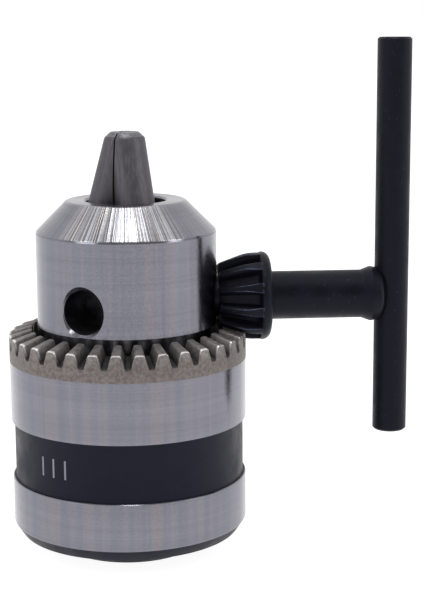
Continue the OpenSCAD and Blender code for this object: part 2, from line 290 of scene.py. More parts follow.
@dataclass(frozen=True)
class GroundSteel(Finish):
    """Bright steel that was turned and ground, with fine rings and soft streaks across them."""

    colour: Colour = (0.225, 0.216, 0.246)
    cool: Colour = (0.192, 0.194, 0.232)
    warm: Colour = (0.238, 0.210, 0.228)
    roughness: float = 0.22
    ring_scale: float = 5200.0
    ring_height: float = 6e-6
    streaks_round: float = 9.0
    grain_scale: float = 2600.0
    anisotropy: float = 0.75
    cone: Optional[tuple[float, float]] = None
    lines_round: float = 110.0
    tints_round: float = 26.0
    line_height: float = 0.05 * MM
    highlight_gap_dark: Colour = (0.17, 0.165, 0.175)
    cool_highlight: Colour = (0.66, 0.68, 0.76)
    warm_highlight: Colour = (0.78, 0.73, 0.68)
    highlight_middle: float = math.radians(-95)
    highlight_reach: float = math.radians(48)

    def paint(self, graph: Graph, shader: bpy.types.Node, place: Place) -> None:
        """Adds the rings, the streaks and, on a nose cone, its fine chatter marks with a painted highlight on
        the side that faces the camera.

        Args:
            graph: the material's tree.
            shader: its Principled shader.
            place: where the point is.
        """
        rings = graph.noise(graph.vector(graph.math("MULTIPLY", place.angle, 0.4), 0.0,
                                         graph.math("MULTIPLY", place.z, self.ring_scale)), 1.0, 3.0, 0.7)
        broad = graph.noise(graph.vector(graph.math("MULTIPLY", place.angle, 0.25), 0.0,
                                         graph.math("MULTIPLY", place.z, self.ring_scale / 7)), 1.0, 1.0)
        streaks = graph.noise(graph.vector(graph.math("MULTIPLY", place.angle, self.streaks_round),
                                           graph.math("MULTIPLY", place.z, 8.0), 3.7), 1.0, 3.0, 0.6)
        grains = graph.noise(place.point, self.grain_scale)
        colour = graph.mix(graph.span(streaks, 0.35, 0.65), self.cool, self.colour)
        colour = graph.mix(graph.span(streaks, 0.55, 0.72, 0.0, 0.6), colour, self.warm)
        shade = graph.math("ADD", graph.span(rings, 0.3, 0.7, 0.93, 1.04),
                           graph.span(broad, 0.3, 0.7, -0.05, 0.03))
        rough = graph.math("ADD", graph.span(grains, 0.3, 0.7, -0.04, 0.05), self.roughness)
        normal = graph.bump(rings, self.ring_height)
        if self.cone:
            colour, normal = self.chatter_highlight(graph, place, colour, normal)
        scaled = graph.add("ShaderNodeVectorMath", operation="SCALE")
        graph.join(colour, scaled.inputs[0])
        graph.join(shade, scaled.inputs["Scale"])
        graph.join(scaled.outputs[0], shader.inputs["Base Color"])
        graph.join(rough, shader.inputs["Roughness"])
        graph.join(normal, shader.inputs["Normal"])
        shader.inputs["Metallic"].default_value = 1.0
        shader.inputs["Anisotropic"].default_value = self.anisotropy
        shader.inputs["Anisotropic Rotation"].default_value = 0.25
        graph.join(graph.add("ShaderNodeTangent", direction_type="RADIAL", axis="Z").outputs[0],
                   shader.inputs["Tangent"])

    def chatter_highlight(self, graph: Graph, place: Place, colour: object, normal: object) -> tuple[object, object]:
        """Adds fine marks that run down the nose cone and paints a highlight of pale streaks with faint
        rainbow tints and dark lines between them, strongest on the side that faces the camera.

        Args:
            graph: the material's tree.
            place: where the point is.
            colour: the steel's colour so far.
            normal: its normal so far.

        Returns:
            The new colour and normal.
        """
        low, high = self.cone
        on_cone = graph.math("MULTIPLY", graph.span(place.z, low, low + 0.1 * MM),
                             graph.span(place.z, high - 0.1 * MM, high, 1.0, 0.0))
        # Painted highlight: pale tinted streaks with dark lines between them, strong round the angle that
        # faces the camera and faint elsewhere.
        from_middle = graph.math("ABSOLUTE", graph.math("SUBTRACT", place.angle, self.highlight_middle))
        highlight_zone = graph.math("MULTIPLY", on_cone, graph.span(from_middle, self.highlight_reach * 0.5,
                                                            self.highlight_reach, 1.0, 0.12))
        lines = graph.noise(graph.vector(graph.math("MULTIPLY", place.angle, self.lines_round), 0.0,
                                         graph.math("MULTIPLY", place.z, 25.0)), 1.0, 2.0, 0.6)
        tint = graph.noise(graph.vector(graph.math("MULTIPLY", place.angle, self.tints_round), 5.0,
                                        graph.math("MULTIPLY", place.z, 60.0)), 1.0, 1.0)
        pale = graph.mix(graph.span(tint, 0.35, 0.65), self.cool_highlight, self.warm_highlight)
        highlight_streaks = graph.mix(graph.span(lines, 0.42, 0.58), self.highlight_gap_dark, pale)
        colour = graph.mix(graph.math("MULTIPLY", highlight_zone, 0.9), colour, highlight_streaks)
        height = graph.math("MULTIPLY", lines, highlight_zone)
        return colour, graph.bump(height, self.line_height, 0.7, normal)


@dataclass(frozen=True)
class BodySteel(GroundSteel):
    """The body's ground steel, with its bores darkened by painted shade and stain, and a black rear end."""

    wall: float = 15.5 * MM
    mouth: float = 7.3 * MM
    bore_top: float = 52.0 * MM
    rear: float = 30.0 * MM
    shaded_bore_dark: Colour = (0.045, 0.044, 0.05)
    shaded_bore_pale: Colour = (0.11, 0.105, 0.115)
    rear_black: Colour = (0.012, 0.012, 0.016)
    stain_scale: float = 420.0

    def paint(self, graph: Graph, shader: bpy.types.Node, place: Place) -> None:
        """Paints ground steel, and then darkens the bores with painted shade and stain mottling, and the
        rear.

        Args:
            graph: the material's tree.
            shader: its Principled shader.
            place: where the point is.
        """
        super().paint(graph, shader, place)
        # Painted shade: the bores and the mouth get a dark colour, mottled by a stain noise.
        in_wall = graph.math("MULTIPLY", graph.math("LESS_THAN", place.radius, self.wall),
                             graph.math("LESS_THAN", place.z, self.bore_top))
        inside = graph.math("MAXIMUM", in_wall, graph.math("LESS_THAN", place.radius, self.mouth))
        rear = graph.math("LESS_THAN", place.z, self.rear)
        bright = shader.inputs["Base Color"].links[0].from_socket
        smooth = shader.inputs["Roughness"].links[0].from_socket
        stain = graph.span(graph.noise(place.point, self.stain_scale, 3.0), 0.35, 0.65)
        dark = graph.mix(stain, self.shaded_bore_dark, self.shaded_bore_pale)
        colour = graph.mix(inside, bright, dark)
        graph.join(graph.mix(rear, colour, self.rear_black), shader.inputs["Base Color"])
        duller = graph.math("MULTIPLY", graph.math("MAXIMUM", inside, rear), 0.12)
        graph.join(graph.math("ADD", smooth, duller), shader.inputs["Roughness"])


@dataclass(frozen=True)
class BlackOxide(Finish):
    """Blackened steel, half glossy, mottled and a little scuffed."""

    dark: Colour = (0.0020, 0.0018, 0.0040)
    light: Colour = (0.0065, 0.0060, 0.0110)
    scuff: Colour = (0.045, 0.045, 0.065)
    crest_highlight: Colour = (0.085, 0.095, 0.150)
    roughness: float = 0.42
    grain: Grain = Grain.NONE
    scuffs: float = 0.5
    mottle_scale: float = 260.0
    fine_scale: float = 4200.0
    speck_scale: float = 1500.0
    tooth_height: float = 4e-6

    def paint(self, graph: Graph, shader: bpy.types.Node, place: Place) -> None:
        """Adds the mottling, the fine tooth of the surface, the scuffs and a painted highlight on the edges
        that the mesh picks out.

        Args:
            graph: the material's tree.
            shader: its Principled shader.
            place: where the point is.
        """
        along = {Grain.TURNED: graph.vector(graph.math("MULTIPLY", place.angle, 0.01), 0.0, place.z),
                 Grain.NONE: place.point}[self.grain]
        mottle = graph.noise(place.point, self.mottle_scale, 4.0, 0.6)
        fine = graph.noise(along, self.fine_scale, 3.0, 0.6)
        specks = graph.noise(place.point, self.speck_scale, 2.0, 0.7)
        colour = graph.mix(graph.span(mottle, 0.30, 0.75, 0.3, 0.8), self.dark, self.light)
        scuffed = graph.math("MULTIPLY", graph.span(specks, 0.66, 0.74), self.scuffs)
        # Painted highlight: edges that the mesh marks are lightened to a bluish grey.
        crest_highlight = graph.add("ShaderNodeAttribute", attribute_name="wear_and_sheen").outputs["Fac"]
        bare = graph.math("MULTIPLY", crest_highlight, graph.span(specks, 0.35, 0.6, 0.3, 1.0))
        colour = graph.mix(bare, colour, self.crest_highlight)
        graph.join(graph.mix(scuffed, colour, self.scuff), shader.inputs["Base Color"])
        rough = graph.math("ADD", graph.span(mottle, 0.3, 0.7, -0.07, 0.09), self.roughness)
        graph.join(rough, shader.inputs["Roughness"])
        graph.join(graph.bump(graph.math("ADD", fine, specks), self.tooth_height), shader.inputs["Normal"])
        shader.inputs["Metallic"].default_value = 0.0
        shader.inputs["IOR"].default_value = 1.26
        shader.inputs["Specular Tint"].default_value = (0.75, 0.78, 1.0, 1.0)


@dataclass(frozen=True)
class JawSteel(Finish):
    """Dark satin steel drawn lengthways, bright where the tips were ground."""

    tip: float = 75.0 * MM
    colour: Colour = (0.100, 0.095, 0.108)
    pale: Colour = (0.170, 0.163, 0.180)
    bright: Colour = (0.20, 0.20, 0.215)
    grain_scale: tuple[float, float, float] = (2600.0, 2600.0, 130.0)
    cloud_scale: float = 300.0
    pit_scale: float = 1800.0
    grain_height: float = 6e-6

    def paint(self, graph: Graph, shader: bpy.types.Node, place: Place) -> None:
        """Adds the lengthways grain, the cloudy shading and the ground tips.

        Args:
            graph: the material's tree.
            shader: its Principled shader.
            place: where the point is.
        """
        stretched = graph.add("ShaderNodeMapping")
        graph.join(place.point, stretched.inputs["Vector"])
        stretched.inputs["Scale"].default_value = self.grain_scale
        drawn = graph.noise(stretched.outputs[0], 1.0, 3.0, 0.6)
        cloud = graph.noise(place.point, self.cloud_scale, 3.0)
        colour = graph.mix(graph.span(drawn, 0.35, 0.7, 0.0, 0.6), self.colour, self.pale)
        colour = graph.mix(graph.span(cloud, 0.35, 0.7, 0.0, 0.35), colour, self.colour)
        ground = graph.span(place.z, self.tip - 0.03 * MM, self.tip + 0.03 * MM)
        pits = graph.span(graph.noise(place.point, self.pit_scale), 0.35, 0.55, 0.35, 1.0)
        bare = graph.math("MULTIPLY", ground, pits)
        graph.join(graph.mix(bare, colour, self.bright), shader.inputs["Base Color"])
        rough = graph.math("ADD", graph.span(drawn, 0.3, 0.7, 0.48, 0.58),
                           graph.math("MULTIPLY", ground, -0.1))
        graph.join(rough, shader.inputs["Roughness"])
        graph.join(graph.bump(drawn, self.grain_height), shader.inputs["Normal"])
        shader.inputs["Metallic"].default_value = 1.0


@dataclass(frozen=True)
class ToothSteel(Finish):
    """Hardened tooth steel as it left the furnace: brownish and matt, oiled and darkened by painted shade in
    the gaps, bright where the tooth edges are bare.
    """

    colour: Colour = (0.135, 0.115, 0.108)
    pale: Colour = (0.235, 0.210, 0.200)
    oil_and_shade_black: Colour = (0.004, 0.0035, 0.004)
    bright: Colour = (0.85, 0.84, 0.83)
    scale_size: float = 1500.0
    patch_size: float = 420.0
    scale_height: float = 9e-6

    def paint(self, graph: Graph, shader: bpy.types.Node, place: Place) -> None:
        """Adds scale, oil with painted shade where the mesh asks for it, and bare metal at the tooth edges
        that the mesh picks out.

        Args:
            graph: the material's tree.
            shader: its Principled shader.
            place: where the point is.
        """
        wear_and_sheen = graph.add("ShaderNodeAttribute", attribute_name="wear_and_sheen").outputs["Fac"]
        oil_and_shade = graph.add("ShaderNodeAttribute", attribute_name="oil_and_shade").outputs["Fac"]
        scale = graph.noise(place.point, self.scale_size, 4.0, 0.65)
        patch = graph.noise(place.point, self.patch_size, 3.0)
        colour = graph.mix(graph.span(scale, 0.35, 0.68), self.colour, self.pale)
        # Oil and painted shade: the gaps, the moat and the crests away from the rim are darkened almost to
        # black.
        oiled_and_shaded = graph.math("MULTIPLY", oil_and_shade, graph.span(patch, 0.3, 0.75, 1.0, 0.7))
        colour = graph.mix(oiled_and_shaded, colour, self.oil_and_shade_black)
        chips = graph.math("MULTIPLY", wear_and_sheen, graph.span(scale, 0.30, 0.55, 0.45, 1.0))
        graph.join(graph.mix(chips, colour, self.bright), shader.inputs["Base Color"])
        rough = graph.math("SUBTRACT", graph.span(scale, 0.3, 0.7, 0.46, 0.60),
                           graph.math("MULTIPLY", wear_and_sheen, 0.22))
        graph.join(rough, shader.inputs["Roughness"])
        graph.join(graph.math("SUBTRACT", 0.85, graph.math("MULTIPLY", oiled_and_shaded, 0.8)), shader.inputs["Metallic"])
        graph.join(graph.bump(scale, self.scale_height), shader.inputs["Normal"])


# ---------------------------------------------------------------------------------------------
# Outlines and meshes
# ---------------------------------------------------------------------------------------------


@dataclass(frozen=True)
class Corner:
    """A corner of an outline and the radius that rounds it."""

    x: float
    y: float
    radius: float = 0.0


def rounded(corners: Sequence[Corner], steps: int = 4) -> list[Point]:
    """Rounds the corners of an open outline.

    Args:
        corners: the outline's corners in order. The first and the last stay sharp.
        steps: how many pieces a rounded corner has.

    Returns:
        The points of the rounded outline. Each rounded corner always gives steps + 1 points.
    """
    points: list[Point] = []
    for i, corner in enumerate(corners):
        here = Vector((corner.x, corner.y))
        if corner.radius <= 0 or i in (0, len(corners) - 1):
            points.append((here.x, here.y))
            continue
        before = Vector((corners[i - 1].x, corners[i - 1].y)) - here
        after = Vector((corners[i + 1].x, corners[i + 1].y)) - here
        half = before.angle(after) / 2
        reach = min(corner.radius / math.tan(half), 0.48 * before.length, 0.48 * after.length)
        start, end = here + before.normalized() * reach, here + after.normalized() * reach
        for k in range(steps + 1):
            t = k / steps
            mixed = start * (1 - t) ** 2 + here * 2 * t * (1 - t) + end * t ** 2
            points.append((mixed.x, mixed.y))
    return points


def smooth_by_angle(mesh: bpy.types.Mesh, degrees: float) -> None:
    """Shades a mesh smooth, with its sharper edges kept.

    Args:
        mesh: the mesh.
        degrees: an edge that bends more than this stays sharp.
    """
    shape = bmesh.new()
    shape.from_mesh(mesh)
    limit = math.radians(degrees)
    for face in shape.faces:
        face.smooth = True
    for edge in shape.edges:
        edge.smooth = len(edge.link_faces) == 2 and edge.calc_face_angle(0.0) < limit
    shape.to_mesh(mesh)
    shape.free()


def add_object(name: str, mesh: bpy.types.Mesh) -> bpy.types.Object:
    """Puts a mesh in the scene as a new object at the origin.

    Args:
        name: the object's name.
        mesh: its mesh.

    Returns:
        The new object.
    """
    thing = bpy.data.objects.new(name, mesh)
    bpy.context.scene.collection.objects.link(thing)
    return thing


def bake(thing: bpy.types.Object) -> bpy.types.Object:
    """Turns an object with modifiers into a plain mesh.

    Args:
        thing: the object. It is removed.

    Returns:
        A new object of the same name with the finished mesh and no modifiers.
    """
    name = thing.name
    evaluated = thing.evaluated_get(bpy.context.evaluated_depsgraph_get())
    mesh = bpy.data.meshes.new_from_object(evaluated)
    bpy.data.objects.remove(thing)
    mesh.name = name
    return add_object(name, mesh)


def ring_faces(steps: int, count: int) -> list[tuple[int, ...]]:
    """Joins a row of closed sections with the same number of points.

    Args:
        steps: how many gaps lie between the sections.
        count: how many points each section has.

    Returns:
        The faces, as point numbers.
    """
    faces = []
    for i in range(steps):
        here, there = i * count, (i + 1) * count
        for j in range(count):
            after = (j + 1) % count
            faces.append((here + j, here + after, there + after, there + j))
    return faces


@dataclass
class Sector:
    """One repeat of a toothed piece: sections at a row of angles, all with the same number of points."""

    name: str
    angles: list[float]
    sections: list[list[Point]]
    zone: Callable[[float, float], Zone]
    wear_and_sheen: Callable[[float, float, float], float]
    oil_and_shade: Callable[[float, float, float], float]

    def mesh(self) -> bpy.types.Mesh:
        """Builds the sector's mesh about +Z.

        Returns:
            A mesh that is open at the sector's two sides, with its marks as attributes.
        """
        mesh = bpy.data.meshes.new(self.name)
        count = len(self.sections[0])
        points = [(r * math.cos(a), r * math.sin(a), z)
                  for a, s in zip(self.angles, self.sections) for r, z in s]
        mesh.from_pydata(points, [], ring_faces(len(self.angles) - 1, count))
        marks = {"wear_and_sheen": self.wear_and_sheen, "oil_and_shade": self.oil_and_shade}
        for label, rule in marks.items():
            values = [rule(a, r, z) for a, s in zip(self.angles, self.sections) for r, z in s]
            mesh.attributes.new(label, "FLOAT", "POINT").data.foreach_set("value", values)
        zones = []
        for face in mesh.polygons:
            middle = face.center
            zones.append(int(self.zone(math.hypot(middle.x, middle.y), middle.z)))
        mesh.attributes.new("zone", "INT", "FACE").data.foreach_set("value", zones)
        return mesh


class RepeatAroundAxis:
    """A geometry tree that repeats a mesh at equal steps about +Z, welds the copies and dresses them."""

    def __init__(self) -> None:
        """Builds the tree."""
        self.tree = bpy.data.node_groups.new("repeat_around_axis", "GeometryNodeTree")
        self.tree.is_modifier = True
        graph = Graph(self.tree)
        new = self.tree.interface.new_socket
        new("Mesh", in_out="INPUT", socket_type="NodeSocketGeometry")
        new("Count", in_out="INPUT", socket_type="NodeSocketInt")
        new("First Angle", in_out="INPUT", socket_type="NodeSocketFloat")
        new("Step Angle", in_out="INPUT", socket_type="NodeSocketFloat")
        new("Weld Distance", in_out="INPUT", socket_type="NodeSocketFloat")
        for zone in Zone:
            new(f"{zone.name.title()} Finish", in_out="INPUT", socket_type="NodeSocketMaterial")
        new("Mesh", in_out="OUTPUT", socket_type="NodeSocketGeometry")
        given = graph.add("NodeGroupInput").outputs
        line = graph.add("GeometryNodeMeshLine", mode="OFFSET")
        graph.join(given["Count"], line.inputs["Count"])
        graph.join((0.0, 0.0, 0.0), line.inputs["Offset"])
        turned = graph.math("MULTIPLY_ADD", graph.add("GeometryNodeInputIndex").outputs[0],
                            given["Step Angle"], given["First Angle"])
        turn = graph.add("FunctionNodeEulerToRotation")
        graph.join(graph.vector(0.0, 0.0, turned), turn.inputs[0])
        whole = graph.add("GeometryNodeGeometryToInstance")
        graph.join(given["Mesh"], whole.inputs[0])
        copies = graph.add("GeometryNodeInstanceOnPoints")
        graph.join(line.outputs["Mesh"], copies.inputs["Points"])
        graph.join(whole.outputs[0], copies.inputs["Instance"])
        graph.join(turn.outputs[0], copies.inputs["Rotation"])
        real = graph.add("GeometryNodeRealizeInstances")
        graph.join(copies.outputs[0], real.inputs[0])
        weld = graph.add("GeometryNodeMergeByDistance")
        graph.join(real.outputs[0], weld.inputs["Geometry"])
        graph.join(given["Weld Distance"], weld.inputs["Distance"])
        mark = graph.add("GeometryNodeInputNamedAttribute", data_type="INT")
        mark.inputs["Name"].default_value = "zone"
        dressed = weld.outputs[0]
        for zone in Zone:
            same = graph.add("FunctionNodeCompare", data_type="INT", operation="EQUAL")
            graph.join(mark.outputs["Attribute"], same.inputs[2])
            graph.join(int(zone), same.inputs[3])
            dress = graph.add("GeometryNodeSetMaterial")
            graph.join(dressed, dress.inputs["Geometry"])
            graph.join(same.outputs[0], dress.inputs["Selection"])
            graph.join(given[f"{zone.name.title()} Finish"], dress.inputs["Material"])
            dressed = dress.outputs[0]
        graph.join(dressed, graph.add("NodeGroupOutput").inputs[0])

    def apply(self, thing: bpy.types.Object, count: int, first: float, step: float,
              finishes: dict[Zone, bpy.types.Material]) -> bpy.types.Object:
        """Repeats an object's mesh and returns the finished piece.

        Args:
            thing: the object with one repeat.
            count: how many copies there are.
            first: where the first copy is turned to, in radians.
            step: the angle from each copy to the next.
            finishes: the material of each zone.

        Returns:
            The finished object, a plain mesh.
        """
        values = {"Count": count, "First Angle": first, "Step Angle": step, "Weld Distance": 0.002 * MM}
        values.update({f"{zone.name.title()} Finish": material for zone, material in finishes.items()})
        modifier = thing.modifiers.new("repeat", "NODES")
        modifier.node_group = self.tree
        for item in self.tree.interface.items_tree:
            if item.in_out == "INPUT" and item.name in values:
                modifier[item.identifier] = values[item.name]
        return bake(thing)


# ---------------------------------------------------------------------------------------------
# The pieces
# ---------------------------------------------------------------------------------------------


@dataclass(frozen=True)
class GearPair:
    """The bevel ring on the sleeve and the key's pinion, whose tooth lines all meet at one apex."""

    rim_r: float
    rim_z: float
    ring_teeth: int = 33
    pinion_teeth: int = 11
    ring_addendum: float = 1.12 * MM
    ring_dedendum: float = 1.30 * MM
    pinion_addendum: float = 0.80 * MM
    root_clear: float = 0.20 * MM
    backlash: float = 0.24 * MM
    pressure: float = math.radians(18)
    ring_extra: float = 0.36 * MM
    mesh_turn: float = math.radians(1.6)

    @property
    def pinion_r(self) -> float:
        """The pinion's pitch radius, level with the ring's rim."""
        return self.rim_r * self.pinion_teeth / self.ring_teeth

    @property
    def apex_z(self) -> float:
        """The height of the apex and of the key's axis."""
        return self.rim_z - self.ring_addendum + self.pinion_r

    @property
    def even_w(self) -> float:
        """The width on the pitch circle at the rim that teeth of equal width would have."""
        return (2 * math.pi * self.rim_r / self.ring_teeth - self.backlash) / 2

    def ring_tooth(self) -> list[Point]:
        """Half the outline of a ring tooth at the rim, from its middle to the middle of the gap.

        Returns:
            Points of sideways distance and height above the pitch line.
        """
        slope = math.tan(self.pressure)
        top, root = self.ring_addendum, -self.ring_dedendum
        half_pitch = math.pi * self.rim_r / self.ring_teeth
        half = (self.even_w + self.ring_extra) / 2
        outline = [Corner(0, top), Corner(half - top * slope, top, 0.58 * MM),
                   Corner(half - root * slope, root, 0.25 * MM), Corner(half_pitch, root)]
        return rounded(outline, 5)


@dataclass
class ToothedSleeve:
    """The sleeve: two ground bands, a black recess between them and the ring of teeth at its rim."""

    gears: GearPair
    rear_z: float
    bore_r: float = 19.45 * MM
    band_r: float = 21.4 * MM
    teeth_in_r: float = 17.4 * MM
    lip_r: float = 16.33 * MM
    lip_z: float = 36.0 * MM
    lip_h: float = 1.4 * MM
    bevel_w: float = 1.45 * MM
    bevel_h: float = 2.15 * MM
    rear_band_h: float = 8.4 * MM
    recess_h: float = 10.5 * MM
    recess: float = 0.52 * MM
    rim_h: float = 4.7 * MM
    tooth_edge: float = 0.16 * MM

    def section(self, height: float) -> list[Point]:
        """The sleeve's section where the tooth outline is at a given height.

        Args:
            height: the height above the pitch line at the rim.

        Returns:
            A closed ring of points of radius and height, counter-clockwise from the bore's rear.
        """
        gears, mm = self.gears, MM
        band_z = self.rear_z + self.bevel_h
        recess_z = band_z + self.rear_band_h
        front_z = recess_z + self.recess_h
        rim_z = gears.rim_z - self.rim_h
        rim_r = gears.rim_r

        def along_tooth(radius: float) -> float:
            """The height of the tooth's surface at a radius."""
            return gears.apex_z - (gears.pinion_r - height) * radius / rim_r

        turned = rounded([
            Corner(self.bore_r, self.rear_z + 0.4 * mm),
            Corner(self.bore_r + 0.25 * mm, self.rear_z, 0.1 * mm),
            Corner(self.band_r - self.bevel_w, self.rear_z, 0.5 * mm),
            Corner(self.band_r, band_z, 0.5 * mm),
            Corner(self.band_r, recess_z - 0.12 * mm, 0.05 * mm),
            Corner(self.band_r - 0.16 * mm, recess_z, 0.05 * mm),
            Corner(self.band_r - self.recess, recess_z, 0.15 * mm),
            Corner(self.band_r - self.recess, front_z, 0.15 * mm),
            Corner((self.band_r + rim_r) / 2, front_z, 0.08 * mm),
            Corner(rim_r - 0.03 * mm, rim_z - 0.02 * mm), Corner(rim_r, rim_z, 0.02 * mm),
            Corner(rim_r, (rim_z + along_tooth(rim_r)) / 2),
        ], 3)
        edge, inner = self.tooth_edge, self.teeth_in_r
        toothed = [
            (rim_r, along_tooth(rim_r) - edge),
            (rim_r - 0.3 * edge, along_tooth(rim_r - 0.3 * edge) - 0.3 * edge),
            (rim_r - edge, along_tooth(rim_r - edge)),
            (rim_r - 3 * edge, along_tooth(rim_r - 3 * edge)),
            ((rim_r + inner) / 2, along_tooth((rim_r + inner) / 2)),
            (inner + edge, along_tooth(inner + edge)),
            (inner + 0.3 * edge, along_tooth(inner + 0.3 * edge) - 0.3 * edge),
            (inner, along_tooth(inner) - edge),
        ]
        lip = rounded([
            Corner(inner, along_tooth(inner) - 3 * edge), Corner(inner, self.lip_z + self.lip_h, 0.15 * mm),
            Corner(self.lip_r, self.lip_z + self.lip_h, 0.1 * mm), Corner(self.lip_r, self.lip_z),
            Corner(self.bore_r, self.lip_z),
        ], 3)
        return turned + toothed + lip

    def zone(self, radius: float, height: float) -> Zone:
        """Tells which finish the sleeve has at a place.

        Args:
            radius: the distance from the chuck's axis.
            height: the height above the rear face of the boss.

        Returns:
            The zone of that finish.
        """
        band_z = self.rear_z + self.bevel_h
        recess_z = band_z + self.rear_band_h
        if radius < self.bore_r + 0.2 * MM and height < self.gears.rim_z - self.rim_h:
            return Zone.BLACK
        if height > self.gears.rim_z - self.rim_h - 0.01 * MM:
            return Zone.TOOTH
        if height < band_z - 0.1 * MM:
            return Zone.BLACK
        if recess_z + 0.02 * MM < height < recess_z + self.recess_h - 0.005 * MM:
            return Zone.BLACK
        if abs(height - recess_z) < 0.03 * MM and radius < self.band_r - 0.2 * MM:
            return Zone.BLACK
        return Zone.GROUND

    def wear_and_sheen(self, angle: float, radius: float, height: float) -> float:
        """How bare the metal is: bright on the rounded outer edge of each tooth's tip.

        Args:
            angle: the angle round the chuck's axis, which makes no difference here.
            radius: the distance from the chuck's axis.
            height: the height above the rear face of the boss.

        Returns:
            The strength of the mark, from 0 to 1.
        """
        gears = self.gears
        above = height - (gears.apex_z - gears.pinion_r * radius / gears.rim_r)
        tip = max(0.0, min(1.0, (above / gears.ring_addendum * gears.rim_r / radius - 0.45) / 0.4))
        on_edge = 1.0 if gears.rim_r - 0.17 * MM < radius < gears.rim_r - 0.01 * MM else 0.12
        return tip * on_edge

    def oil_and_shade(self, angle: float, radius: float, height: float) -> float:
        """How oiled and shaded the steel is: oil and painted shade in the gaps, in the moat, and along each
        crest away from the rim.

        Args:
            angle: the angle round the chuck's axis, which makes no difference here.
            radius: the distance from the chuck's axis.
            height: the height above the rear face of the boss.

        Returns:
            The strength of the mark, from 0 to 1.
        """
        gears = self.gears
        # Oil and painted shade: darker deeper in the gaps and further in from the rim.
        if radius > gears.rim_r - 0.02 * MM:
            return 0.0
        above = height - (gears.apex_z - gears.pinion_r * radius / gears.rim_r)
        depth = 1.0 - max(0.0, min(1.0, (above - 0.1 * MM) / (1.0 * MM)))
        inward = max(0.0, min(1.0, (gears.rim_r - radius - 0.3 * MM) / (3.0 * MM)))
        return max(depth, 0.85 * inward)

    def build(self, repeat: RepeatAroundAxis, finishes: dict[Zone, bpy.types.Material]) -> bpy.types.Object:
        """Builds the sleeve from one tooth and its share of the shell.

        Args:
            repeat: the tree that repeats it.
            finishes: the material of each zone.

        Returns:
            The finished piece, riding on its body.
        """
        half = self.gears.ring_tooth()
        whole = [(-x, y) for x, y in reversed(half)] + half[1:]
        step = 2 * math.pi / self.gears.ring_teeth
        sector = Sector("sleeve_sector", [x / self.gears.rim_r for x, _ in whole],
                        [self.section(y) for _, y in whole], self.zone, self.wear_and_sheen, self.oil_and_shade)
        start = self.gears.mesh_turn
        piece = repeat.apply(add_object("toothed_sleeve", sector.mesh()), self.gears.ring_teeth, start, step,
                             finishes)
        smooth_by_angle(piece.data, 32)
        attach(piece, "sleeve")
        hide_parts("sleeve")
        return piece


@dataclass
class StampedStrokes:
    """Three short generic strokes stamped on the black recess, as slim raised bars."""

    recess_r: float
    first: float = math.radians(222)
    spread: float = math.radians(7)
    count: int = 3
    low: float = 17.2 * MM
    high: float = 20.6 * MM
    width: float = math.radians(1.1)
    proud: float = 0.02 * MM
    sunk: float = 0.1 * MM
    steps: int = 4

    def build(self, repeat: RepeatAroundAxis, finish: bpy.types.Material) -> bpy.types.Object:
        """Builds the strokes.

        Args:
            repeat: the tree that repeats one stroke.
            finish: the strokes' material.

        Returns:
            The finished piece, riding on the sleeve.
        """
        inner, outer = self.recess_r - self.sunk, self.recess_r + self.proud
        ring = [(inner, self.low), (outer, self.low), (outer, self.high), (inner, self.high)]
        angles = [self.width * i / self.steps for i in range(self.steps + 1)]
        mesh = bpy.data.meshes.new("stroke")
        points = [(r * math.cos(a), r * math.sin(a), z) for a in angles for r, z in ring]
        count = len(ring)
        faces = ring_faces(self.steps, count)
        faces += [tuple(reversed(range(count))), tuple(range(self.steps * count, (self.steps + 1) * count))]
        mesh.from_pydata(points, [], faces)
        zones = [int(Zone.GROUND)] * len(faces)
        mesh.attributes.new("zone", "INT", "FACE").data.foreach_set("value", zones)
        shape = bmesh.new()
        shape.from_mesh(mesh)
        bmesh.ops.recalc_face_normals(shape, faces=shape.faces)
        shape.to_mesh(mesh)
        shape.free()
        piece = repeat.apply(add_object("stamped_strokes", mesh), self.count, self.first, self.spread,
                             {zone: finish for zone in Zone})
        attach(piece, "sleeve")
        return piece


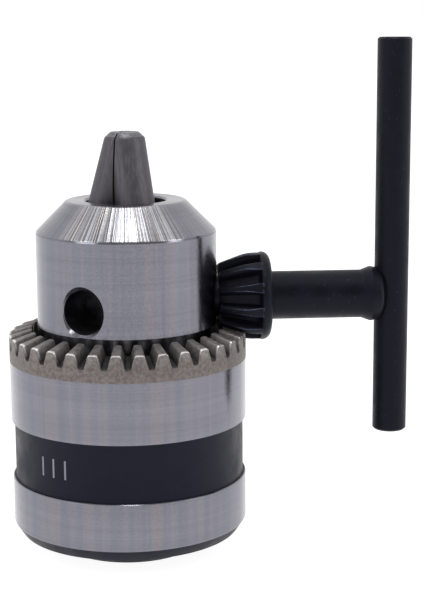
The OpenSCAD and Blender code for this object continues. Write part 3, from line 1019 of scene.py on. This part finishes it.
@dataclass
class ChuckKey:
    """The key: a pilot, a crowned pinion with a rounded collar, and a shank upset against the cross bar."""

    gears: GearPair
    pilot_end: float
    end_x: float
    head_r: float
    bar_x: float
    bar_r: float
    pilot_r: float = 3.75 * MM
    shank_r: float = 4.375 * MM
    teeth_in: float = 16.5 * MM
    collar_x: float = 24.1 * MM
    collar_l: float = 1.8 * MM
    collar_round: float = 1.5 * MM
    upset: float = 0.65 * MM
    flank_steps: int = 4
    edge: float = 0.16 * MM
    hub_r: float = 4.0 * MM
    nose_chamfer: float = 0.35 * MM
    section_x: tuple[float, ...] = (18.2 * MM, 19.6 * MM, 20.8 * MM, 21.3 * MM, 21.8 * MM, 22.4 * MM,
                                    23.4 * MM)
    runout: tuple[Point, ...] = ((23.62 * MM, 0.10), (23.78 * MM, 0.45), (23.90 * MM, 0.85),
                                 (24.05 * MM, 1.0))

    def outer(self, x: float) -> float:
        """The radius of the pinion's blank: a cone that rounds over into a straight crown.

        Args:
            x: the distance along the key.

        Returns:
            The radius.
        """
        gears = self.gears
        cone = (gears.pinion_r + gears.pinion_addendum) * x / gears.rim_r
        flat = self.head_r - 0.12 * MM
        blend = 0.5 * MM
        return min(cone, flat) - 0.25 * max(0.0, blend - abs(cone - flat)) ** 2 / blend

    def tooth(self, x: float, floor_share: float) -> list[Point]:
        """Half the outline of a pinion tooth across the key, from its middle to the middle of the gap.

        Args:
            x: the distance along the key.
            floor_share: how far the gap's floor has run out, from 0 to 1.

        Returns:
            Points of angle and radius.
        """
        gears = self.gears
        scale = x / gears.rim_r
        base = gears.pinion_r * math.cos(gears.pressure)
        half_base = (gears.even_w - gears.ring_extra) / 2 / gears.pinion_r
        half_base += self.involute(base, gears.pinion_r)
        tip = self.outer(x)
        root = (gears.pinion_r - gears.ring_addendum - gears.root_clear) * scale
        root += (tip - 0.02 * MM - root) * floor_share
        low = max(base, root / scale)
        high = max(low + 0.001 * MM, tip / scale)
        flank = []
        for i in range(self.flank_steps + 1):
            r = high + (low - high) * i / self.flank_steps
            flank.append((half_base - self.involute(base, r), r * scale))
        corners = [Corner(0, tip), *[Corner(r * math.sin(a), r * math.cos(a)) for a, r in flank]]
        half_pitch = math.pi / gears.pinion_teeth
        foot = half_base + math.radians(1.2)
        corners[1] = Corner(corners[1].x, corners[1].y, self.edge)
        corners += [Corner(root * math.sin(foot), root * math.cos(foot), self.edge),
                    Corner(root * math.sin(half_pitch), root * math.cos(half_pitch))]
        return [(math.atan2(px, py), math.hypot(px, py)) for px, py in rounded(corners, 3)]

    @staticmethod
    def on_crest_edge(index: int, count: int) -> bool:
        """Tells whether a point of a section lies on the rounded edge of a tooth's crest."""
        return abs(index - (count - 1) // 2) in (2, 3, 4)

    def crest_highlight(self, x: float, radius: float) -> float:
        """How strong the painted highlight is on a crest edge: along the outer half of the teeth and where
        their spaces end.
        """
        along = max(0.0, min(1.0, (x - 18.5 * MM) / (2.5 * MM)))
        return along if x < self.collar_x + 0.2 * MM and radius > 0.9 * self.outer(x) else 0.0

    @staticmethod
    def involute(base: float, radius: float) -> float:
        """The involute's angle from a base circle out to a radius."""
        a = math.acos(min(1.0, base / radius))
        return math.tan(a) - a

    def round_section(self, count: int, radius: float, angles: Optional[list[float]] = None) -> list[Point]:
        """A plain round section, as points of angle and radius.

        Args:
            count: how many points it has.
            radius: its radius.
            angles: the angles of the points, or None to space them evenly.

        Returns:
            The section's points.
        """
        half_pitch = math.pi / self.gears.pinion_teeth
        if angles is None:
            angles = [half_pitch * i / (count - 1) for i in range(count)]
        return [(a, radius) for a in angles]

    def stations(self) -> list[tuple[float, list[Point]]]:
        """The sections along the key, from the pilot's end to the end against the bar."""
        mm = MM
        toothed = [(x, self.tooth(x, 0.0)) for x in (self.teeth_in + self.nose_chamfer, *self.section_x)]
        toothed += [(x, self.tooth(x, floor_share)) for x, floor_share in self.runout]
        count = len(toothed[0][1])
        nose = toothed[0][1]
        nose_x = self.teeth_in
        nose_face = [(a, r - self.nose_chamfer) for a, r in nose]
        hub_x = nose_x + 0.05 * mm
        front = rounded([Corner(self.pilot_end, 0.0002 * mm), Corner(self.pilot_end, self.pilot_r, 0.6 * mm),
                         Corner(hub_x, self.pilot_r, 0.2 * mm), Corner(hub_x, self.hub_r)], 3)
        last_angles = [a for a, _ in toothed[-1][1]]
        end_x = self.collar_x + self.collar_l
        corner_x, corner_r = end_x - self.collar_round, self.head_r - self.collar_round
        turns = [math.pi / 2 * i / 7 for i in range(8)]
        collar = [(corner_x + self.collar_round * math.sin(a), corner_r + self.collar_round * math.cos(a))
                  for a in turns]
        upset_r = self.shank_r + self.upset
        end = self.bar_x - self.bar_r
        shank = rounded([Corner(end_x, self.shank_r + 0.6 * mm), Corner(end_x, self.shank_r, 0.35 * mm),
                         Corner(end - 2.6 * mm, self.shank_r, 1.2 * mm),
                         Corner(end - 0.9 * mm, upset_r, 0.8 * mm),
                         Corner(end + 0.9 * mm, upset_r - 0.35 * mm, 1.2 * mm),
                         Corner(self.end_x - 0.05 * mm, self.bar_r - 0.2 * mm, 0.3 * mm),
                         Corner(self.end_x, 0.0002 * mm)], 5)
        rows = [(x, self.round_section(count, r)) for x, r in front]
        rows.append((nose_x, nose_face))
        rows += toothed
        rows += [(x, self.round_section(count, r, last_angles)) for x, r in collar]
        rows += [(x, self.round_section(count, r)) for x, r in shank]
        return rows

    def build(self, repeat: RepeatAroundAxis, finishes: dict[Zone, bpy.types.Material]) -> bpy.types.Object:
        """Builds the key's shank from one pinion tooth and its share of the rest.

        Args:
            repeat: the tree that repeats it.
            finishes: the material of each zone.

        Returns:
            The finished piece, riding on its body.
        """
        rows = self.stations()
        mirrored = [(x, [(-a, r) for a, r in reversed(row)] + row[1:]) for x, row in rows]
        mesh = bpy.data.meshes.new("key_sector")
        count = len(mirrored[0][1])
        points = [(r * math.cos(a), r * math.sin(a), x) for x, row in mirrored for a, r in row]
        faces = [(i * count + j, i * count + j + 1, (i + 1) * count + j + 1, (i + 1) * count + j)
                 for i in range(len(mirrored) - 1) for j in range(count - 1)]
        mesh.from_pydata(points, [], faces)
        zones = [int(Zone.BLACK)] * len(faces)
        mesh.attributes.new("zone", "INT", "FACE").data.foreach_set("value", zones)
        # Painted highlight: the rounded crest edges are marked for the black finish to lighten.
        crests = [self.crest_highlight(x, r) if self.on_crest_edge(i, count) else 0.0 for x, row in mirrored
                  for i, (_, r) in enumerate(row)]
        mesh.attributes.new("wear_and_sheen", "FLOAT", "POINT").data.foreach_set("value", crests)
        step = 2 * math.pi / self.gears.pinion_teeth
        turn = self.gears.mesh_turn * self.gears.ring_teeth / self.gears.pinion_teeth
        first = step / 2 - math.pi / 2 + turn
        piece = repeat.apply(add_object("key_shank_and_pinion", mesh), self.gears.pinion_teeth, first, step,
                             finishes)
        onto_row = Matrix(((0, 0, 1, 0), (1, 0, 0, 0), (0, 1, 0, self.gears.apex_z), (0, 0, 0, 1)))
        piece.data.transform(onto_row)
        smooth_by_angle(piece.data, 32)
        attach(piece, "key")
        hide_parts("key_shank")
        return piece


@dataclass
class JawSet:
    """The three jaws, with the sharp edges of their tips broken."""

    count: int = 3
    break_w: float = 0.16 * MM
    thread_top: float = 54.0 * MM

    def build(self, finish: bpy.types.Material) -> list[bpy.types.Object]:
        """Builds each jaw from a welded copy of its CAD solid.

        Args:
            finish: the jaws' material.

        Returns:
            The three finished pieces.
        """
        return [self.build_one(f"jaw_{i + 1}", finish) for i in range(self.count)]

    def build_one(self, node: str, finish: bpy.types.Material) -> bpy.types.Object:
        """Builds one jaw.

        Args:
            node: the CAD node's name, which is the body's name too.
            finish: the jaw's material.

        Returns:
            The finished piece.
        """
        mesh = bpy.data.meshes.new(f"{node}_ground")
        shape = bmesh.new()
        shape.from_mesh(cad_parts[node].data)
        bmesh.ops.remove_doubles(shape, verts=shape.verts, dist=0.001 * MM)
        weight = shape.edges.layers.float.new("bevel_weight_edge")
        for edge in shape.edges:
            high = min(v.co.z for v in edge.verts) > self.thread_top
            if high and len(edge.link_faces) == 2 and edge.calc_face_angle(0.0) > math.radians(25):
                edge[weight] = 1.0
        shape.to_mesh(mesh)
        shape.free()
        jaw = add_object(f"{node}_ground", mesh)
        bevel = jaw.modifiers.new("edge_break", "BEVEL")
        bevel.limit_method = "WEIGHT"
        bevel.width = self.break_w
        bevel.segments = 2
        jaw = bake(jaw)
        jaw.data.materials.clear()
        jaw.data.materials.append(finish)
        smooth_by_angle(jaw.data, 30)
        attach(jaw, node)
        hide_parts(node)
        return jaw


@dataclass
class Studio:
    """The floor, the soft lights and the camera."""

    position: tuple[float, float, float] = (-4.25 * MM, -271.1 * MM, 96.74 * MM)
    yaw: float = -4.15
    pitch: float = 10.75
    roll: float = -0.36
    lens: float = 91.07
    floor_size: float = 60.0

    def floor(self) -> None:
        """Lays the pale floor that the chuck stands on."""
        half = self.floor_size / 2
        mesh = bpy.data.meshes.new("floor")
        corners = [(-half, -half, 0), (half, -half, 0), (half, half, 0), (-half, half, 0)]
        mesh.from_pydata(corners, [], [(0, 1, 2, 3)])
        material = bpy.data.materials.new("floor_paper")
        material.use_nodes = True
        shader = material.node_tree.nodes["Principled BSDF"]
        shader.inputs["Base Color"].default_value = (0.3, 0.3, 0.3, 1)
        shader.inputs["Roughness"].default_value = 0.9
        shader.inputs["Specular IOR Level"].default_value = 0.0
        shader.inputs["Emission Color"].default_value = (1, 1, 1, 1)
        shader.inputs["Emission Strength"].default_value = 0.93
        mesh.materials.append(material)
        add_object("floor", mesh)

    def light(self, name: str, place: tuple[float, float, float], size: tuple[float, float], power: float,
              aim: tuple[float, float, float] = (0, 0, 0.04)) -> None:
        """Adds one soft box.

        Args:
            name: the lamp's name.
            place: where it stands.
            size: its width and height.
            power: its power in watts.
            aim: the point that it faces.
        """
        lamp = bpy.data.lights.new(name, "AREA")
        lamp.shape = "RECTANGLE"
        lamp.size, lamp.size_y = size
        lamp.energy = power
        box = bpy.data.objects.new(name, lamp)
        box.location = place
        box.rotation_euler = (Vector(aim) - Vector(place)).to_track_quat("-Z", "Y").to_euler()
        bpy.context.scene.collection.objects.link(box)

    def sky(self) -> None:
        """Sets an even white surround that is dimmer on the camera's side."""
        world = bpy.data.worlds.new("white_surround")
        world.use_nodes = True
        bpy.context.scene.world = world
        graph = Graph(world.node_tree)
        parts = graph.add("ShaderNodeSeparateXYZ")
        graph.join(graph.add("ShaderNodeTexCoord").outputs["Generated"], parts.inputs[0])
        background = world.node_tree.nodes["Background"]
        graph.join(graph.span(parts.outputs["Y"], -0.6, 0.3, 0.35, 1.0), background.inputs["Strength"])
        background.inputs["Color"].default_value = (1.0, 1.0, 1.0, 1.0)

    def camera(self) -> None:
        """Sets the camera up."""
        data = bpy.data.cameras.new("camera")
        data.lens = self.lens
        data.sensor_width = 36.0
        data.clip_end = 100.0
        camera = bpy.data.objects.new("camera", data)
        turn = (Matrix.Rotation(math.radians(self.yaw), 4, "Z")
                @ Matrix.Rotation(math.radians(90 - self.pitch), 4, "X")
                @ Matrix.Rotation(math.radians(self.roll), 4, "Z"))
        camera.matrix_world = Matrix.Translation(Vector(self.position)) @ turn
        bpy.context.scene.collection.objects.link(camera)
        bpy.context.scene.camera = camera

    def build(self) -> None:
        """Sets up everything that isn't part of the chuck."""
        self.floor()
        self.sky()
        self.light("left_box", (-0.55, -0.35, 0.45), (0.30, 0.5), 1.2)
        self.light("right_box", (0.6, -0.25, 0.35), (0.20, 0.5), 0.9)
        self.light("top_strip", (0.0, -0.18, 0.7), (0.11, 0.5), 1.2)
        self.camera()
        bpy.context.scene.view_settings.view_transform = "Standard"


def dress(node: str, material: bpy.types.Material) -> None:
    """Gives a CAD node its material.

    Args:
        node: the node's name.
        material: the material for all its slots.
    """
    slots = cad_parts[node].material_slots
    for slot in slots:
        slot.material = material


def main() -> None:
    """Builds every piece and the studio."""
    logging.basicConfig(level=logging.INFO, format="%(name)s: %(message)s")
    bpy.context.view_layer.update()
    sleeve_low, sleeve_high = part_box("sleeve")
    body_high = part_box("body")[1]
    key_low, key_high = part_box("key_shank")
    bar_low, bar_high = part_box("key_bar")
    jaw_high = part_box("jaw_1")[1]

    gears = GearPair(rim_r=sleeve_high.x, rim_z=sleeve_low.z + SLEEVE_LENGTH)
    finishes = {
        Zone.GROUND: GroundSteel("sleeve_ground_steel").make(),
        Zone.BLACK: BlackOxide("sleeve_black_oxide", dark=(0.0045, 0.0045, 0.009),
                               light=(0.010, 0.010, 0.019), grain=Grain.TURNED, scuffs=0.1).make(),
        Zone.TOOTH: ToothSteel("tooth_steel").make(),
    }
    repeat = RepeatAroundAxis()
    sleeve = ToothedSleeve(gears, rear_z=sleeve_low.z)
    sleeve.build(repeat, finishes)
    strokes = StampedStrokes(recess_r=sleeve.band_r - sleeve.recess)
    strokes.build(repeat, finishes[Zone.GROUND])

    black_key = BlackOxide("key_black_oxide").make()
    key = ChuckKey(gears, pilot_end=key_low.x, end_x=key_high.x, head_r=(key_high.y - key_low.y) / 2,
                   bar_x=(bar_low.x + bar_high.x) / 2, bar_r=(bar_high.x - bar_low.x) / 2)
    key.build(repeat, {zone: black_key for zone in Zone})
    dress("key_bar", black_key)

    cone = (body_high.z - NOSE_CONE_HEIGHT, body_high.z)
    dress("body", BodySteel("body_steel", cone=cone).make())
    for jaw in JawSet().build(JawSteel("jaw_steel_satin", tip=jaw_high.z - JAW_TIP_CHAMFER).make()):
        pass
    nut = BlackOxide("nut_steel_oiled", dark=(0.05, 0.048, 0.05), light=(0.12, 0.115, 0.12)).make()
    for half in ("nut_half_a", "nut_half_b"):
        dress(half, nut)

    Studio().build()


if __name__ == "__main__":
    main()
